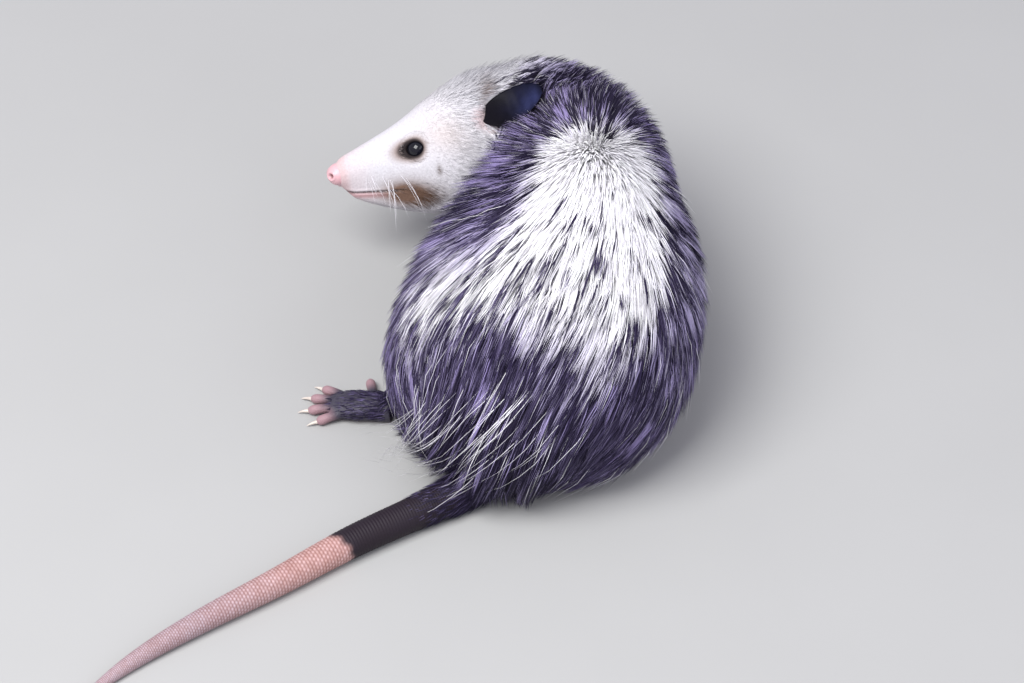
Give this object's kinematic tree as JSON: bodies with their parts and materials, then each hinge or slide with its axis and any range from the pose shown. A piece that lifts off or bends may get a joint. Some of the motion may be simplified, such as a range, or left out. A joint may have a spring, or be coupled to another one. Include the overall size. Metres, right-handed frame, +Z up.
{
  "type": "opossum figure",
  "caption": "Still, life-size opossum crouching on the floor with its head turned back over its left shoulder and its tail laid out behind it.",
  "frame": {"origin": "on the floor under the belly, at the middle of the belly's flat", "axes": "+Z up; the rump and tail are towards -Y, the chest towards +Y, the animal's left side and its turned head towards -X"},
  "size_m": [0.3659, 0.4445, 0.1652],
  "materials": {
    "head_fur": "short white fur",
    "coat": "long grizzled fur",
    "leg_fur": "short black fur",
    "nose_skin": "moist bare skin",
    "ear_skin": "thin bare skin, satin",
    "eye": "wet gloss",
    "foot_skin": "bare skin, dark with pink toe tips",
    "claw": "horn, satin",
    "tail_skin": "ringed scaly skin, black at the root and pink beyond it"
  },
  "bodies": {
    "root": {"claw_front_left_1": "claw", "claw_front_left_2": "claw", "claw_front_left_3": "claw", "claw_front_left_4": "claw", "claw_front_left_5": "claw", "claw_front_right_1": "claw", "claw_front_right_2": "claw", "claw_front_right_3": "claw", "claw_front_right_4": "claw", "claw_front_right_5": "claw", "claw_hind_left_1": "claw", "claw_hind_left_2": "claw", "claw_hind_left_3": "claw", "claw_hind_left_4": "claw", "claw_hind_right_1": "claw", "claw_hind_right_2": "claw", "claw_hind_right_3": "claw", "claw_hind_right_4": "claw", "ear_left": "ear_skin", "ear_right": "ear_skin", "eye_left": "eye", "eye_right": "eye", "foot_front_left": "foot_skin", "foot_front_right": "foot_skin", "foot_hind_left": "foot_skin", "foot_hind_right": "foot_skin", "head": "head_fur", "leg_front_left": "leg_fur", "leg_front_right": "leg_fur", "leg_hind_left": "leg_fur", "leg_hind_right": "leg_fur", "neck": "coat", "nose": "nose_skin", "tail_base": "tail_skin", "tail_middle": "tail_skin", "tail_tip": "tail_skin", "torso": "coat"}
  },
  "joints": []
}
